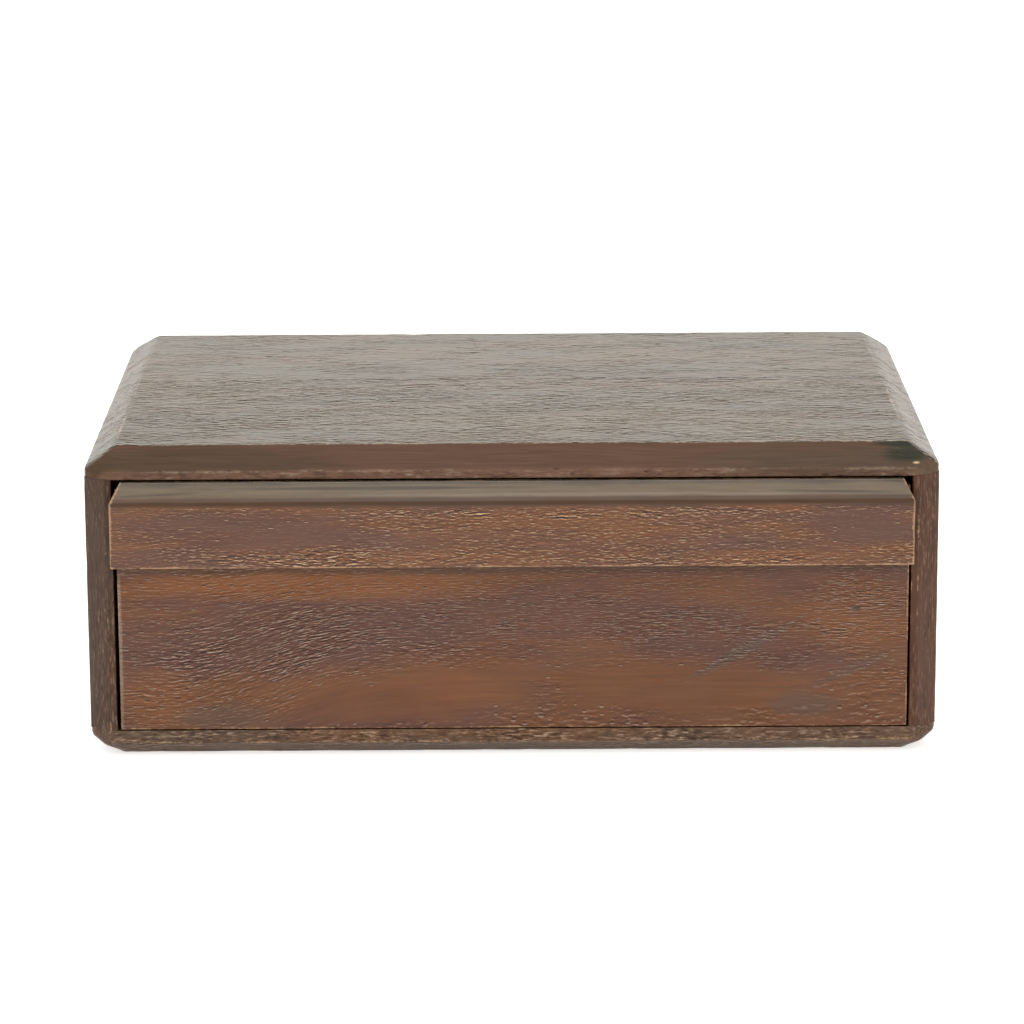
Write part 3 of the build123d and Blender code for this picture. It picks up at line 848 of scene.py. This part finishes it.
def steel():
    """Bright drawn wire, slightly scratched round."""
    material = bpy.data.materials.new("pin_steel")
    material.use_nodes = True
    tree = material.node_tree
    surface = tree.nodes["Principled BSDF"]
    place = add_node(tree, "ShaderNodeTexCoord").outputs["Object"]
    grit = noise(tree, vector_calc(tree, "MULTIPLY", place, (4000.0, 4000.0, 900.0)), 1.0, detail=3.0)
    feed(tree, surface.inputs["Base Color"], blend_colour(
        tree, grit, (0.42, 0.41, 0.40, 1), (0.62, 0.61, 0.60, 1)))
    feed(tree, surface.inputs["Roughness"], calc(tree, "MULTIPLY_ADD", grit, 0.25, 0.22))
    bump = add_node(tree, "ShaderNodeBump", {"Height": grit, "Strength": 0.4, "Distance": 0.02 * MM})
    feed(tree, surface.inputs["Normal"], bump.outputs["Normal"])
    surface.inputs["Metallic"].default_value = 1.0
    return material


def build_fastenings():
    tree = make_peg_row()
    beech = timber("dowel_timber", UPRIGHT, (0, 0, 0), warm=(0.56, 0.40, 0.24, 1),
                   # Painted highlight on upward ridge flanks in a pale beech colour.
                   cool=(0.50, 0.35, 0.20, 1), flank_highlight=(0.62, 0.47, 0.31, 1), ridge_size=(3.0, 0.3),
                   ridge_dark=0.25, ridge_pale=0.3, pore_size=(1.2, 0.2), openness=0.4,
                   waxed=0.05, roughness=0.6, wear=0.0)
    for node in ("top_dowels", "bottom_dowels", "back_dowels"):
        build_pegs(tree, node, "case", "dowel_wood", beech, **{"Flutes": 12.0, "Flute Depth": 0.07})
    build_pegs(tree, "key_pegs", "latch", "dowel_wood", beech, **{"Flutes": 6.0, "Flute Depth": 0.04})
    build_pegs(tree, "drawer_pins", "drawer", "steel_pin", steel(), **{
        "Flute Depth": 0.0, "End Taper": 0.3})


# ---------------------------------------------------------------- floor, light and camera

def build_stage():
    """A plain pale floor and an even, pale surround."""
    mesh = bpy.data.meshes.new("floor")
    half = 6.0
    mesh.from_pydata([(-half, -half, 0), (half, -half, 0), (half, half, 0), (-half, half, 0)], [],
                     [(0, 1, 2, 3)])
    floor = as_object("floor", mesh)
    material = bpy.data.materials.new("floor_paper")
    material.use_nodes = True
    surface = material.node_tree.nodes["Principled BSDF"]
    surface.inputs["Base Color"].default_value = (0.93, 0.93, 0.93, 1)
    surface.inputs["Roughness"].default_value = 0.9
    surface.inputs["Emission Color"].default_value = (1, 1, 1, 1)
    surface.inputs["Emission Strength"].default_value = 0.6
    mesh.materials.append(material)
    world = bpy.data.worlds.new("surround")
    world.use_nodes = True
    background = world.node_tree.nodes["Background"]
    background.inputs["Color"].default_value = (1, 0.98, 0.93, 1)
    background.inputs["Strength"].default_value = 1.0
    bpy.context.scene.world = world
    bpy.context.scene.view_settings.view_transform = "Standard"


def soft_box(name, place, target, size, power):
    data = bpy.data.lights.new(name, "AREA")
    data.shape, data.size, data.size_y, data.energy = "RECTANGLE", *size, power
    lamp = bpy.data.objects.new(name, data)
    bpy.context.scene.collection.objects.link(lamp)
    lamp.location = place
    lamp.rotation_euler = (Vector(target) - Vector(place)).to_track_quat("-Z", "Y").to_euler()
    return lamp


def build_lights():
    soft_box("overhead", (0, 0.0, 1.4), (0, 0, 0.1), (0.9, 0.5), 12)


def build_camera():
    """A long lens in front of the box, a little above it."""
    data = bpy.data.cameras.new("camera")
    data.lens, data.sensor_width = 149.4, 36.0
    camera = bpy.data.objects.new("camera", data)
    bpy.context.scene.collection.objects.link(camera)
    distance, pitch, aim_height = 1486.4 * MM, radians(13.756), 88.5 * MM
    place = Vector((0, -distance * cos(pitch), aim_height + distance * sin(pitch)))
    turn = Matrix.Rotation(radians(-0.118), 4, "Z")
    look = Matrix.Rotation(pi / 2 - pitch, 4, "X") @ Matrix.Rotation(radians(-0.303), 4, "Z")
    camera.matrix_world = (Matrix.Translation((0, FACE_Y, 0)) @ turn
                           @ Matrix.Translation(place) @ look)
    bpy.context.scene.camera = camera


build_case()
build_drawer_front()
build_batten()
build_inside()
build_fastenings()
build_stage()
build_lights()
build_camera()
